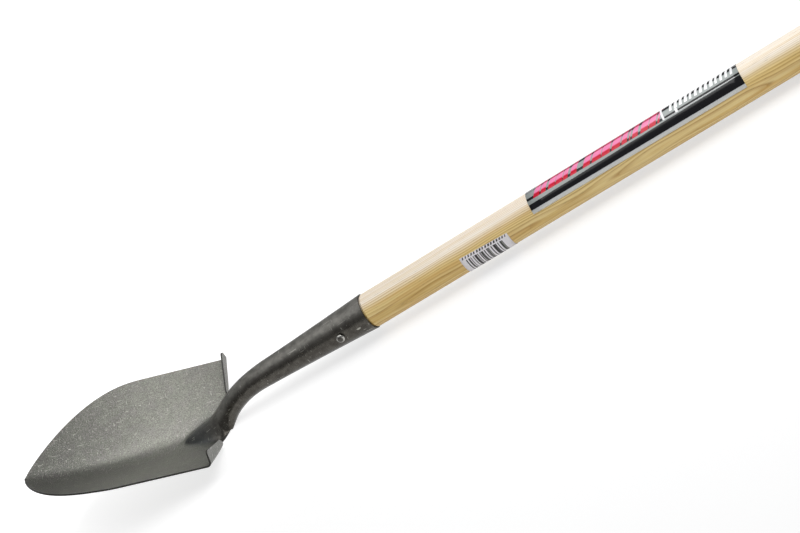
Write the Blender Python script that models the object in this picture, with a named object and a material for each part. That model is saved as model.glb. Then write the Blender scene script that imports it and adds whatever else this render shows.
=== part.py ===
"""Long handled round point shovel, lying on its back with the dish upward.

The head is one pressed sheet of steel: a dished blade with a rounded point, two
steps turned up towards the front, a raised frog, a swept neck and a rolled
socket whose seam runs along the back. An ash handle sits in the socket and one
cross rivet holds it. Two film labels are stuck round the handle.

All sizes are in metres. The head is drawn in the frame of the blade: X runs
from the point towards the handle, Y across the blade, Z out of the front face.
"""
import math

import bmesh
import bpy

# Sheet and blade
SHEET = 0.0018
BLADE_WIDTH = 0.1855
BLADE_LENGTH = 0.2427
POINT_START = 0.0004
POINT_END = 0.1400
POINT_FULLNESS = 1.28
NOSE_HALF_WIDTH = 0.012
RIM_HEIGHT = 0.0120
RIM_DROP_AT_POINT = 0.0215
RIM_CREST_X = 0.1115
RIM_DROP_CURVE = 1.83
RIM_FALL_TO_REAR = 0.079
CREASE_DEPTH = 0.027
CREASE_LIFT_AT_POINT = 0.0172
CREASE_LIFT_CURVE = 1.75
CREASE_BOTTOM_X = 0.130
CREASE_LIFT_AT_REAR = 0.0012
CREASE_SOFTNESS = 0.25
POINT_SOFTNESS = 0.50
POINT_SOFT_END = 0.080

# Steps turned up at the shoulders
STEP_BEND_RADIUS = 0.0048
STEP_HEIGHT_OUTER = 0.0175
STEP_HEIGHT_INNER = 0.0115
STEP_LEAN = 0.36
STEP_CORNER_RADIUS = 0.005

# Frog, neck and socket, measured on the outside of the sheet
FROG_LENGTH = 0.0505
FROG_RISE = 0.0278
FROG_START_SLOPE = 0.80
FROG_END_SLOPE = 0.95
FROG_HALF_WIDTH = 0.0125
NECK_RADIUS = 0.0114
NECK_START_ANGLE = math.radians(52.0)
WEB_SLOPE = 0.6
WRAP_LENGTH = 0.0205
SEAM_GAP = 0.0018
HANDLE_LIFT = math.radians(15.33)
SOCKET_END_X = 0.4385
SOCKET_END_Z = 0.0646
SOCKET_LENGTH = 0.133
SOCKET_START_RADIUS = 0.01375
SOCKET_END_RADIUS = 0.0199
SOCKET_FLARE = 1.2

# Handle
HANDLE_RADIUS = 0.019
HANDLE_REACH = 1.110
TENON_LENGTH = 0.104
BUTT_ROUND = 0.008
BUTT_FLAT_RADIUS = 0.011
FIT_GAP = 0.0003

# Cross rivet
RIVET_SETBACK = 0.0362
RIVET_RADIUS = 0.0026
RIVET_HEAD_RADIUS = 0.0046
RIVET_HEAD_HEIGHT = 0.0024

# Labels, placed along the handle from the end of the socket
LABEL_GAP = 0.00025
LABEL_THICKNESS = 0.0002
BAND_LABEL_START = 0.2060
BAND_LABEL_LENGTH = 0.2371
BAND_LABEL_WIDTH = 0.0460
BAND_LABEL_TURN = math.radians(86.6)
BAND_LABEL_TILT = math.radians(0.38)
CODE_LABEL_START = 0.1164
CODE_LABEL_LENGTH = 0.0556
CODE_LABEL_WIDTH = 0.0320
CODE_LABEL_TURN = math.radians(-30.4)
CODE_LABEL_TILT = math.radians(2.2)

# Fineness of the surfaces
SOCKET_HALF_SEGMENTS = 10
NOTCH_SEGMENTS = 3
FLANK_SEGMENTS = 8
POINT_ROWS = 13
FROG_ROWS = 10
NECK_ROWS = 12
SOCKET_ROWS = 7
BEND_ROWS = 4
TREAD_ROWS = 3
ROUND_SEGMENTS = 48
BUTT_SEGMENTS = 6
RIVET_SEGMENTS = 24

# Shares of the half width where the columns of the sheet change use
NECK_SHARE = 0.31
STEP_SHARE = 0.41

HALF_WIDTH = BLADE_WIDTH / 2
FOLD_X = BLADE_LENGTH - STEP_BEND_RADIUS
FROG_TIP_X = FOLD_X - FROG_LENGTH


def clear_scene():
    """Remove whatever the file held before."""
    for thing in list(bpy.data.objects):
        bpy.data.objects.remove(thing, do_unlink=True)


def smooth_share(value):
    """Ease a value from 0 to 1."""
    value = min(max(value, 0.0), 1.0)
    return value * value * (3.0 - 2.0 * value)


def hermite(share, start, start_slope, end, end_slope, length):
    """A curve through two heights with given slopes at both."""
    s2 = share * share
    s3 = s2 * share
    value = (1 - 3 * s2 + 2 * s3) * start
    value += (share - 2 * s2 + s3) * length * start_slope
    value += (3 * s2 - 2 * s3) * end
    value += (s3 - s2) * length * end_slope
    return value


def half_width(x):
    """Half the width of the blade, full at the sides and drawn in to the point."""
    along = min(max((x - POINT_START) / (POINT_END - POINT_START), 0.0), 1.0)
    return HALF_WIDTH * (1 - (1 - along) ** 2) ** (1 / POINT_FULLNESS)


def outline_x(y):
    """Where the outline of the point crosses a given half width."""
    filled = min(abs(y) / HALF_WIDTH, 1.0) ** POINT_FULLNESS
    return POINT_START + (POINT_END - POINT_START) * (1 - math.sqrt(1 - filled))


def rim_z(x):
    """Height of the cut edge of the blade, in side view."""
    if x < RIM_CREST_X:
        return RIM_HEIGHT - RIM_DROP_AT_POINT * (1 - x / RIM_CREST_X) ** RIM_DROP_CURVE
    past = x - RIM_CREST_X
    return RIM_HEIGHT - RIM_FALL_TO_REAR * (math.hypot(past, 0.01) - 0.01)


def crease_z(x):
    """Height of the crease along the middle of the dish."""
    if x < CREASE_BOTTOM_X:
        return -CREASE_DEPTH + CREASE_LIFT_AT_POINT * (1 - x / CREASE_BOTTOM_X) ** CREASE_LIFT_CURVE
    past = (x - CREASE_BOTTOM_X) / (FOLD_X - CREASE_BOTTOM_X)
    return -CREASE_DEPTH + CREASE_LIFT_AT_REAR * past * past


def dish_z(x, y):
    """Height of the dish: straight flanks with a crease that grows softer at the nose."""
    share = min(abs(y) / max(half_width(x), NOSE_HALF_WIDTH / 2), 1.0)
    softness = CREASE_SOFTNESS + POINT_SOFTNESS * max(0.0, 1 - x / POINT_SOFT_END) ** 2
    full = math.hypot(1.0, softness) - softness
    rise = (math.hypot(share, softness) - softness) / full
    return crease_z(x) + (rim_z(x) - crease_z(x)) * rise


def frog_top_z(x):
    """Height of the crest of the frog."""
    share = (x - FROG_TIP_X) / FROG_LENGTH
    start = crease_z(FROG_TIP_X)
    return hermite(share, start, FROG_START_SLOPE, start + FROG_RISE, FROG_END_SLOPE, FROG_LENGTH)


def front_z(x, y):
    """Height of the front face of the blade, frog included."""
    height = dish_z(x, y)
    if x <= FROG_TIP_X:
        return height
    share = (x - FROG_TIP_X) / FROG_LENGTH
    spread = FROG_HALF_WIDTH * (0.30 + 0.70 * math.sin(share * math.pi / 2))
    crest = frog_top_z(x) - dish_z(x, 0.0)
    return height + crest / (1 + abs(y / spread) ** 3.0)


def column_shares():
    """Shares of the half width at which the columns of the sheet run."""
    shares = [NECK_SHARE * i / SOCKET_HALF_SEGMENTS for i in range(SOCKET_HALF_SEGMENTS + 1)]
    step = (STEP_SHARE - NECK_SHARE) / NOTCH_SEGMENTS
    shares += [NECK_SHARE + step * (i + 1) for i in range(NOTCH_SEGMENTS)]
    for i in range(FLANK_SEGMENTS):
        turn = math.pi / 2 * (i + 1) / FLANK_SEGMENTS
        shares.append(STEP_SHARE + (1 - STEP_SHARE) * math.sin(turn))
    return shares


def blade_rows():
    """Distances of the rows of the blade, from the nose to the fold."""
    nose = outline_x(NOSE_HALF_WIDTH)
    rows = [nose + (FROG_TIP_X - nose) * (i / POINT_ROWS) ** 1.2 for i in range(POINT_ROWS)]
    rows += [FROG_TIP_X + FROG_LENGTH * i / FROG_ROWS for i in range(FROG_ROWS + 1)]
    return rows


def blade_point(row_x, share):
    """A point on the back of the blade, on a row that bows to follow the nose."""
    rows_start = outline_x(NOSE_HALF_WIDTH)
    y = share * half_width(row_x)
    bow = rows_start - outline_x(share * half_width(rows_start))
    fade = max(0.0, 1 - (row_x - rows_start) / 0.08)
    x = row_x - bow * fade
    return (x, y, front_z(x, y) - SHEET)


def neck_frames():
    """Stations along the neck and socket: centre, tilt of the cut, radius, wrap."""
    line_slope = math.tan(HANDLE_LIFT)
    start_z = crease_z(FROG_TIP_X) + FROG_RISE - NECK_RADIUS / math.cos(NECK_START_ANGLE)
    straight_x = SOCKET_END_X - SOCKET_LENGTH * math.cos(HANDLE_LIFT)
    straight_z = SOCKET_END_Z - SOCKET_LENGTH * math.sin(HANDLE_LIFT)
    length = straight_x - FOLD_X
    frames = []
    for i in range(1, NECK_ROWS + 1):
        share = (i / NECK_ROWS) ** 1.3
        x = FOLD_X + length * share
        z = hermite(share, start_z, math.tan(NECK_START_ANGLE), straight_z, line_slope, length)
        ahead = hermite(share + 0.001, start_z, math.tan(NECK_START_ANGLE), straight_z, line_slope, length)
        slope = math.atan2(ahead - z, 0.001 * length)
        radius = NECK_RADIUS + (SOCKET_START_RADIUS - NECK_RADIUS) * share ** 2
        tilt = HANDLE_LIFT * smooth_share(share)
        wrap = smooth_share((x - FOLD_X) / WRAP_LENGTH)
        frames.append((x, z, slope, tilt, radius, wrap))
    for i in range(1, SOCKET_ROWS + 1):
        along = SOCKET_LENGTH * i / SOCKET_ROWS
        x = straight_x + along * math.cos(HANDLE_LIFT)
        z = straight_z + along * math.sin(HANDLE_LIFT)
        frames.append((x, z, HANDLE_LIFT, HANDLE_LIFT, socket_radius(along), 1.0))
    return frames


def socket_radius(along):
    """Outside radius of the socket at a distance from its small end."""
    share = along / SOCKET_LENGTH
    return SOCKET_START_RADIUS + (SOCKET_END_RADIUS - SOCKET_START_RADIUS) * share ** SOCKET_FLARE


def web_point(x, share):
    """A point on the web, the blade carried on behind the fold and turned up off the ground."""
    edge = blade_point(FOLD_X, share)
    before = blade_point(FOLD_X - 0.001, share)
    slope = max((edge[2] - before[2]) / 0.001, WEB_SLOPE)
    return (x, edge[1], edge[2] + slope * (x - FOLD_X))


def neck_point(frame, share, index):
    """A point on the inside of the neck, between the open web and the rolled tube."""
    x, z, slope, tilt, radius, wrap = frame
    inner = radius - SHEET
    half_turn = math.pi - math.asin(SEAM_GAP / 2 / inner)
    turn = half_turn * index / SOCKET_HALF_SEGMENTS
    up = inner * math.cos(turn) / math.cos(slope - tilt)
    tube = (x - up * math.sin(tilt), inner * math.sin(turn), z + up * math.cos(tilt))
    return tuple(a + (b - a) * wrap for a, b in zip(web_point(x, share), tube))


def step_points(base, share):
    """The bend and the tread that rise from one point of the fold."""
    inwards = (share - STEP_SHARE) / (1 - STEP_SHARE)
    lean = STEP_LEAN * inwards
    norm = math.hypot(lean, 1.0)
    height = STEP_HEIGHT_INNER + (STEP_HEIGHT_OUTER - STEP_HEIGHT_INNER) * inwards
    from_end = min(share - STEP_SHARE, 1 - share) * HALF_WIDTH
    into_corner = max(0.0, STEP_CORNER_RADIUS - from_end)
    height -= STEP_CORNER_RADIUS - math.sqrt(STEP_CORNER_RADIUS ** 2 - into_corner ** 2)
    points = []
    for i in range(1, BEND_ROWS + 1):
        turn = math.pi / 2 * i / BEND_ROWS
        points.append((math.sin(turn) * STEP_BEND_RADIUS, (1 - math.cos(turn)) * STEP_BEND_RADIUS))
    for i in range(1, TREAD_ROWS + 1):
        rise = STEP_BEND_RADIUS + (height - STEP_BEND_RADIUS) * i / TREAD_ROWS
        points.append((STEP_BEND_RADIUS, rise))
    x, y, z = base
    return [(x + forward, y - lean / norm * rise, z + rise / norm) for forward, rise in points]


def mirror_half(half):
    """Turn a half row into a full row, from the right edge to the left edge."""
    left = [(x, -y, z) for x, y, z in half[:0:-1]]
    return left + half


def skin(mesh, rows):
    """Join neighbouring rows of vertices with quads."""
    for near, far in zip(rows, rows[1:]):
        for i in range(len(near) - 1):
            mesh.faces.new((near[i], near[i + 1], far[i + 1], far[i]))


def add_row(mesh, points):
    """Make one row of vertices."""
    return [mesh.verts.new(point) for point in points]


def head_surface():
    """The back face of the whole head as one open surface."""
    mesh = bmesh.new()
    shares = column_shares()
    rows = []
    for row_x in blade_rows():
        half = [blade_point(row_x, share) for share in shares]
        rows.append(add_row(mesh, mirror_half(half)))
    skin(mesh, rows)
    fold = rows[-1]
    middle = len(shares) - 1
    neck_rows = [fold[middle - SOCKET_HALF_SEGMENTS:middle + SOCKET_HALF_SEGMENTS + 1]]
    for frame in neck_frames():
        half = [neck_point(frame, shares[i], i) for i in range(SOCKET_HALF_SEGMENTS + 1)]
        neck_rows.append(add_row(mesh, mirror_half(half)))
    skin(mesh, neck_rows)
    first = SOCKET_HALF_SEGMENTS + NOTCH_SEGMENTS
    columns = [step_points(blade_point(FOLD_X, share), share) for share in shares[first:]]
    for side in (1, -1):
        base = fold[middle + first:] if side > 0 else fold[:middle - first + 1]
        step_rows = [base]
        for level in range(BEND_ROWS + TREAD_ROWS):
            points = [(column[level][0], side * column[level][1], column[level][2]) for column in columns]
            if side < 0:
                points.reverse()
            step_rows.append(add_row(mesh, points))
        skin(mesh, step_rows)
    bmesh.ops.recalc_face_normals(mesh, faces=mesh.faces)
    if sum(face.normal.z for face in mesh.faces) < 0:
        bmesh.ops.reverse_faces(mesh, faces=mesh.faces)
    return mesh


def make_object(name, mesh, material, smooth_angle=35.0):
    """Put a mesh in the scene under its own name, smooth where it is round."""
    data = bpy.data.meshes.new(name)
    mesh.to_mesh(data)
    mesh.free()
    data.materials.append(material)
    data.shade_smooth()
    data.set_sharp_from_angle(angle=math.radians(smooth_angle))
    thing = bpy.data.objects.new(name, data)
    bpy.context.scene.collection.objects.link(thing)
    return thing


def lathe(profile, segments):
    """Spin a profile of distances and radii round the X axis and close both ends."""
    mesh = bmesh.new()
    rings = []
    for x, radius in profile:
        ring = []
        for i in range(segments):
            turn = 2 * math.pi * i / segments
            ring.append(mesh.verts.new((x, radius * math.cos(turn), radius * math.sin(turn))))
        rings.append(ring)
    for near, far in zip(rings, rings[1:]):
        for i in range(segments):
            after = (i + 1) % segments
            mesh.faces.new((near[i], near[after], far[after], far[i]))
    mesh.faces.new(rings[0])
    mesh.faces.new(rings[-1])
    bmesh.ops.recalc_face_normals(mesh, faces=mesh.faces)
    return mesh


def socket_bore(setback):
    """Largest radius that clears the flats inside the socket at a setback from its end."""
    inner = socket_radius(SOCKET_LENGTH - setback) - SHEET
    return inner * math.cos(math.pi / (2 * SOCKET_HALF_SEGMENTS)) - FIT_GAP


def handle_profile():
    """Side profile of the handle, from the end in the socket to the butt."""
    profile = [(-TENON_LENGTH, socket_bore(TENON_LENGTH) - 0.002)]
    profile.append((-TENON_LENGTH + 0.002, socket_bore(TENON_LENGTH - 0.002)))
    for i in range(1, 6):
        setback = TENON_LENGTH * (1 - i / 6)
        profile.append((-setback, socket_bore(setback)))
    profile.append((FIT_GAP, socket_bore(0.0)))
    profile.append((FIT_GAP + 0.0015, HANDLE_RADIUS))
    straight_end = HANDLE_REACH - BUTT_ROUND
    for i in range(BUTT_SEGMENTS + 1):
        turn = math.pi / 2 * i / BUTT_SEGMENTS
        radius = BUTT_FLAT_RADIUS + (HANDLE_RADIUS - BUTT_FLAT_RADIUS) * math.cos(turn)
        profile.append((straight_end + BUTT_ROUND * math.sin(turn), radius))
    return profile


def rivet_profile():
    """Side profile of the rivet: a dome, the shank through the handle and a dome."""
    seat = socket_radius(SOCKET_LENGTH - RIVET_SETBACK + RIVET_HEAD_RADIUS) + 2 * FIT_GAP
    dome = []
    for i in range(6):
        turn = math.pi / 2 * i / 6
        radius = RIVET_HEAD_RADIUS * math.cos(turn)
        dome.append((seat + 0.0004 + RIVET_HEAD_HEIGHT * math.sin(turn), radius))
    half = [(seat, RIVET_RADIUS), (seat, RIVET_HEAD_RADIUS)] + dome
    far = [(-x, radius) for x, radius in reversed(half)]
    return far + half


def rivet_cutter(name):
    """A rod that clears the rivet's shank through socket and handle."""
    mesh = lathe([(-0.03, RIVET_RADIUS + FIT_GAP), (0.03, RIVET_RADIUS + FIT_GAP)], RIVET_SEGMENTS)
    data = bpy.data.meshes.new(name)
    mesh.to_mesh(data)
    mesh.free()
    thing = bpy.data.objects.new(name, data)
    bpy.context.scene.collection.objects.link(thing)
    thing.hide_render = True
    thing.display_type = "WIRE"
    return thing


def label_mesh(start, length, width, turn, tilt):
    """A thin curved sheet that lies round the handle, stuck on a little crooked."""
    inner = HANDLE_RADIUS + LABEL_GAP
    outer = inner + LABEL_THICKNESS
    steps = max(8, round(width / HANDLE_RADIUS / (2 * math.pi) * ROUND_SEGMENTS))
    mesh = bmesh.new()
    loops = []
    for i in range(steps + 1):
        across = width * (i / steps - 0.5)
        loop = []
        for end, radius in ((-0.5, inner), (0.5, inner), (0.5, outer), (-0.5, outer)):
            along = length * end
            x = start + length / 2 + along * math.cos(tilt) + across * math.sin(tilt)
            angle = turn + (across * math.cos(tilt) - along * math.sin(tilt)) / HANDLE_RADIUS
            loop.append(mesh.verts.new((x, -radius * math.cos(angle), radius * math.sin(angle))))
        loops.append(loop)
    for near, far in zip(loops, loops[1:]):
        for i in range(4):
            after = (i + 1) % 4
            mesh.faces.new((near[i], near[after], far[after], far[i]))
    mesh.faces.new(loops[0])
    mesh.faces.new(loops[-1])
    bmesh.ops.recalc_face_normals(mesh, faces=mesh.faces)
    return mesh


def material(name, colour, roughness, metallic):
    """A plain surface with one colour."""
    surface = bpy.data.materials.new(name)
    surface.use_nodes = True
    shader = surface.node_tree.nodes["Principled BSDF"]
    shader.inputs["Base Color"].default_value = (*colour, 1.0)
    shader.inputs["Roughness"].default_value = roughness
    shader.inputs["Metallic"].default_value = metallic
    return surface


def cut_with(thing, cutter):
    """Cut a hole in a piece with a helper solid."""
    cut = thing.modifiers.new("rivet_hole", "BOOLEAN")
    cut.operation = "DIFFERENCE"
    cut.solver = "EXACT"
    cut.object = cutter


def on_socket(thing, head, along=0.0):
    """Seat a piece on the axis of the socket, measured from its end towards the butt."""
    thing.parent = head
    thing.location = (
        SOCKET_END_X + along * math.cos(HANDLE_LIFT),
        0.0,
        SOCKET_END_Z + along * math.sin(HANDLE_LIFT),
    )
    thing.rotation_euler = (0.0, -HANDLE_LIFT, 0.0)


def make_head():
    """The pressed steel head with its thickness."""
    paint = material("head_coating", (0.145, 0.145, 0.125), 0.45, 0.0)
    head = make_object("shovel_head", head_surface(), paint)
    wall = head.modifiers.new("sheet", "SOLIDIFY")
    wall.thickness = SHEET
    wall.offset = 1.0
    wall.use_even_offset = True
    return head


def world_points(thing):
    """Corners of a finished piece in the frame of the head."""
    bpy.context.view_layer.update()
    finished = thing.evaluated_get(bpy.context.evaluated_depsgraph_get())
    data = finished.to_mesh()
    points = [thing.matrix_world @ vertex.co for vertex in data.vertices]
    finished.to_mesh_clear()
    return points


def lowest(points, pitch):
    """Lowest point once the shovel is pitched towards the butt."""
    return min(point.z * math.cos(pitch) - point.x * math.sin(pitch) for point in points)


def lay_down(head, handle):
    """Lay the shovel on its heel and butt, with the middle of its box at the origin."""
    head_points = world_points(head)
    handle_points = world_points(handle)
    level = 0.0
    steep = math.radians(40.0)
    for _ in range(40):
        pitch = (level + steep) / 2
        if lowest(handle_points, pitch) > lowest(head_points, pitch):
            level = pitch
        else:
            steep = pitch
    across = [p.x * math.cos(pitch) + p.z * math.sin(pitch) for p in head_points + handle_points]
    floor = min(lowest(head_points, pitch), lowest(handle_points, pitch))
    head.rotation_euler = (0.0, pitch, 0.0)
    head.location = (-(min(across) + max(across)) / 2, 0.0, -floor)


def main():
    """Build the shovel."""
    clear_scene()
    head = make_head()

    wood = material("ash_wood", (0.62, 0.44, 0.22), 0.5, 0.0)
    handle = make_object("ash_handle", lathe(handle_profile(), ROUND_SEGMENTS), wood)
    on_socket(handle, head)

    cutter = rivet_cutter("rivet_clearance")
    on_socket(cutter, head, -RIVET_SETBACK)
    cutter.rotation_euler = (0.0, 0.0, math.pi / 2)
    cut_with(head, cutter)
    cut_with(handle, cutter)

    steel = material("rivet_steel", (0.10, 0.10, 0.09), 0.3, 1.0)
    rivet = make_object("socket_rivet", lathe(rivet_profile(), RIVET_SEGMENTS), steel)
    on_socket(rivet, head, -RIVET_SETBACK)
    rivet.rotation_euler = (0.0, 0.0, math.pi / 2)

    film = material("band_label_film", (0.03, 0.03, 0.035), 0.3, 0.0)
    band = label_mesh(
        BAND_LABEL_START, BAND_LABEL_LENGTH, BAND_LABEL_WIDTH, BAND_LABEL_TURN, BAND_LABEL_TILT)
    on_socket(make_object("band_label", band, film), head)

    paper = material("code_label_film", (0.80, 0.80, 0.78), 0.5, 0.0)
    code = label_mesh(
        CODE_LABEL_START, CODE_LABEL_LENGTH, CODE_LABEL_WIDTH, CODE_LABEL_TURN, CODE_LABEL_TILT)
    on_socket(make_object("code_label", code, paper), head)

    lay_down(head, handle)


main()
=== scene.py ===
# %% [markdown]
# # A long handled shovel, one piece at a time
# The real thing is a round point shovel: a head pressed from one sheet of steel, an ash
# handle driven into its rolled socket, one rivet through both, and two film labels round
# the handle. It lies on its back on a white table, dish upward.
#
# The solids of the shovel are already there as a fixed frame. Each cell below replaces
# one of them by a finer piece in the same place, then gives it its finish.

# %% Load the frame
import math

import bmesh
import bpy
from mathutils import Euler, Matrix, Vector


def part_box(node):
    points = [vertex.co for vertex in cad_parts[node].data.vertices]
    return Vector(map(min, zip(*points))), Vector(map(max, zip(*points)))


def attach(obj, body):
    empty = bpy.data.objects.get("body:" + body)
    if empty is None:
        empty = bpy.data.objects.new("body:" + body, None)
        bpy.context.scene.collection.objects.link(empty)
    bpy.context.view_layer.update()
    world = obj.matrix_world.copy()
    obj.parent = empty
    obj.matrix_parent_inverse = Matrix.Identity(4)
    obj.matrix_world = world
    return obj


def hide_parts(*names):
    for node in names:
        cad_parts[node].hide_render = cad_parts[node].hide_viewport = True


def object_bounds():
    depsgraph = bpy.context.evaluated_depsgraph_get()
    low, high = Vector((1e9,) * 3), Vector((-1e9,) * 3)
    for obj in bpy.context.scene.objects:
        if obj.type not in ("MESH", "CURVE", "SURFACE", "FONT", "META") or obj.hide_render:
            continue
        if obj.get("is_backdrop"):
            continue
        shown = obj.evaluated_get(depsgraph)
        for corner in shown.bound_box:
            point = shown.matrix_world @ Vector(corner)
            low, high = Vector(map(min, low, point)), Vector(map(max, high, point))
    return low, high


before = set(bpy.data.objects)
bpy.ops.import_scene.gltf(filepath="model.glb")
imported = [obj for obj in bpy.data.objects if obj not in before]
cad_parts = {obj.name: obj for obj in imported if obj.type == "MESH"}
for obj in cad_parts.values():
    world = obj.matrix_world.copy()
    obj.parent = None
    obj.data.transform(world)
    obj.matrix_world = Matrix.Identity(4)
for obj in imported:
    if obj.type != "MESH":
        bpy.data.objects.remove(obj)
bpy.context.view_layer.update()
print("solids:", ", ".join(sorted(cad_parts)))

# %% [markdown]
# ## Two small benches to work on
# The head is easiest to think about lying level, with X from the point to the handle and
# Z out of the dish. The handle is easiest from the end of the socket, with X along the
# wood. So every shape is made on one of these two benches and moved into place once,
# inside its mesh, and its object stays at the origin.

# %% Where the two benches stand
HEAD_PITCH = math.radians(15.758438283229584)
HEAD_SPOT = Vector((-0.7734119892120361, 0.0, 0.08415654301643372))
HANDLE_LIFT = math.radians(15.33)
SOCKET_END = Vector((0.4385, 0.0, 0.0646))

head_bench = Matrix.Translation(HEAD_SPOT) @ Matrix.Rotation(HEAD_PITCH, 4, "Y")
handle_bench = head_bench @ Matrix.Translation(SOCKET_END) @ Matrix.Rotation(-HANDLE_LIFT, 4, "Y")
handle_tilt = HEAD_PITCH - HANDLE_LIFT
print("handle leans by", round(math.degrees(handle_tilt), 2), "degrees")


# %% Finish a piece
def into_scene(name, shape):
    """Turn a shape into an object of the scene."""
    data = bpy.data.meshes.new(name)
    shape.to_mesh(data)
    shape.free()
    made = bpy.data.objects.new(name, data)
    bpy.context.scene.collection.objects.link(made)
    return made


def finish(name, shape, bench, node, materials):
    """Put a shape in its place, as the stand in for one solid of the frame."""
    bmesh.ops.transform(shape, matrix=bench, verts=shape.verts)
    piece = into_scene(name, shape)
    piece.data.shade_smooth()
    for material in materials:
        piece.data.materials.append(material)
    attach(piece, "root")
    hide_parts(node)
    return piece


def compare(piece, node):
    """Print how far the corners of a piece lie from those of its solid."""
    bpy.context.view_layer.update()
    seen = piece.evaluated_get(bpy.context.evaluated_depsgraph_get())
    corners = [seen.matrix_world @ Vector(corner) for corner in seen.bound_box]
    low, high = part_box(node)
    below = [round(1000 * (min(c[i] for c in corners) - low[i]), 2) for i in range(3)]
    above = [round(1000 * (max(c[i] for c in corners) - high[i]), 2) for i in range(3)]
    print(piece.name, "from its solid in millimetres:", below, above)


# %% [markdown]
# ## Nodes with plain words
# Materials are built from nodes. These helpers make a node, set it up and wire what goes
# into it in one line, so that the finishes below read like a recipe.

# %% Helpers for nodes
def add_node(tree, kind, feeds=None, **settings):
    """Add a node, set its options and wire or set its inputs."""
    made = tree.nodes.new("ShaderNode" + kind)
    for key, value in settings.items():
        setattr(made, key, value)
    for key, value in (feeds or {}).items():
        wire(tree, made.inputs[key], value)
    return made


def wire(tree, socket, value):
    """Link a socket to another one, or give it a plain value."""
    if isinstance(value, bpy.types.NodeSocket):
        tree.links.new(value, socket)
    else:
        socket.default_value = value


def maths(tree, operation, first, second=0.0, clamp=False):
    """One step of arithmetic on values."""
    made = add_node(tree, "Math", {0: first, 1: second}, operation=operation, use_clamp=clamp)
    return made.outputs[0]


def times(tree, first, second):
    """One value times another."""
    return maths(tree, "MULTIPLY", first, second)


def plus_share(tree, base, value, share):
    """A value plus a share of another; a negative share takes away."""
    return maths(tree, "ADD", base, times(tree, value, share))


def blend_colours(tree, share, first, second, way="MIX"):
    """Mix two colours by a share."""
    made = add_node(tree, "Mix", data_type="RGBA", blend_type=way)
    wire(tree, made.inputs[0], share)
    wire(tree, made.inputs[6], first)
    wire(tree, made.inputs[7], second)
    return made.outputs[2]


def ease(tree, value, low, high, start=0.0, end=1.0):
    """Turn a range of values smoothly into another range."""
    feeds = {0: value, 1: low, 2: high, 3: start, 4: end}
    made = add_node(tree, "MapRange", feeds, interpolation_type="SMOOTHSTEP")
    return made.outputs[0]


# %% Helpers for patterns and materials
def noise(tree, vector, scale, detail=3.0, roughness=0.5):
    """Cloudy noise from 0 to 1."""
    feeds = {"Vector": vector, "Scale": scale, "Detail": detail, "Roughness": roughness}
    return add_node(tree, "TexNoise", feeds).outputs["Fac"]


def stretch(tree, vector, scale, turn=(0.0, 0.0, 0.0)):
    """Turn and stretch the coordinates of a pattern."""
    return add_node(tree, "Mapping", {"Vector": vector, "Rotation": turn, "Scale": scale}).outputs[0]


def emboss(tree, shader, height, strength, distance, under=None):
    """Let a height stand out on the surface, over another relief if there is one."""
    feeds = {"Height": height, "Strength": strength, "Distance": distance}
    if under:
        feeds["Normal"] = under
    relief = add_node(tree, "Bump", feeds).outputs[0]
    wire(tree, shader.inputs["Normal"], relief)
    return relief


def new_material(name):
    """A fresh material, its tree and its main shader."""
    made = bpy.data.materials.new(name)
    made.use_nodes = True
    return made, made.node_tree, made.node_tree.nodes["Principled BSDF"]


def object_place(tree):
    """The place on the object, in metres."""
    return add_node(tree, "TexCoord").outputs["Object"]


# %% [markdown]
# ## Effects that several finishes share
# A node group is a recipe with named inputs and outputs. Four of them come back more than
# once: a fine speckle, thin scuffs from handling, one printed bar and a row of them.

# %% Start a node group
def new_group(name, inputs, outputs):
    """An empty group with its sockets; inputs are names with a kind and a value."""
    tree = bpy.data.node_groups.new(name, "ShaderNodeTree")
    for label, kind, value in inputs:
        made = tree.interface.new_socket(label, in_out="INPUT", socket_type="NodeSocket" + kind)
        if value is not None:
            made.default_value = value
    for label in outputs:
        tree.interface.new_socket(label, in_out="OUTPUT", socket_type="NodeSocketFloat")
    start = tree.nodes.new("NodeGroupInput")
    end = tree.nodes.new("NodeGroupOutput")
    return tree, start.outputs, end.inputs


def use_group(tree, group, feeds):
    """Place a group in a material with its own values."""
    made = tree.nodes.new("ShaderNodeGroup")
    made.node_tree = group
    for key, value in feeds.items():
        wire(tree, made.inputs[key], value)
    return made.outputs


# %% A fine speckle
speckle, given, result = new_group(
    "fine_speckle",
    [("Place", "Vector", None), ("Grain per metre", "Float", 700.0)],
    ["Mottle", "Grain", "Sparks"],
)
coarse = times(speckle, given["Grain per metre"], 0.16)
wire(speckle, result["Mottle"], noise(speckle, given["Place"], coarse, 4.0, 0.6))
wire(speckle, result["Grain"], noise(speckle, given["Place"], given["Grain per metre"], 2.0, 0.7))
fine = times(speckle, given["Grain per metre"], 1.7)
bright = noise(speckle, given["Place"], fine, 0.0)
wire(speckle, result["Sparks"], ease(speckle, bright, 0.70, 0.78))
print("made", speckle.name)

# %% Thin scuffs
scuffs, given, result = new_group(
    "handling_scuffs",
    [("Place", "Vector", None), ("Amount", "Float", 0.5)],
    ["Scratches", "Rubs"],
)
first_way = noise(scuffs, stretch(scuffs, given["Place"], (70.0, 1300.0, 240.0), (0.0, 0.0, 0.5)), 1.0, 0.0)
second_way = noise(scuffs, stretch(scuffs, given["Place"], (1500.0, 90.0, 240.0), (0.0, 0.0, 0.3)), 1.0, 0.0)
line = ease(scuffs, maths(scuffs, "MAXIMUM", first_way, second_way), 0.775, 0.83)
wire(scuffs, result["Scratches"], times(scuffs, line, given["Amount"]))
rubs = ease(scuffs, noise(scuffs, given["Place"], 90.0, 5.0, 0.7), 0.62, 0.80)
wire(scuffs, result["Rubs"], times(scuffs, rubs, given["Amount"]))
print("made", scuffs.name)

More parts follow.
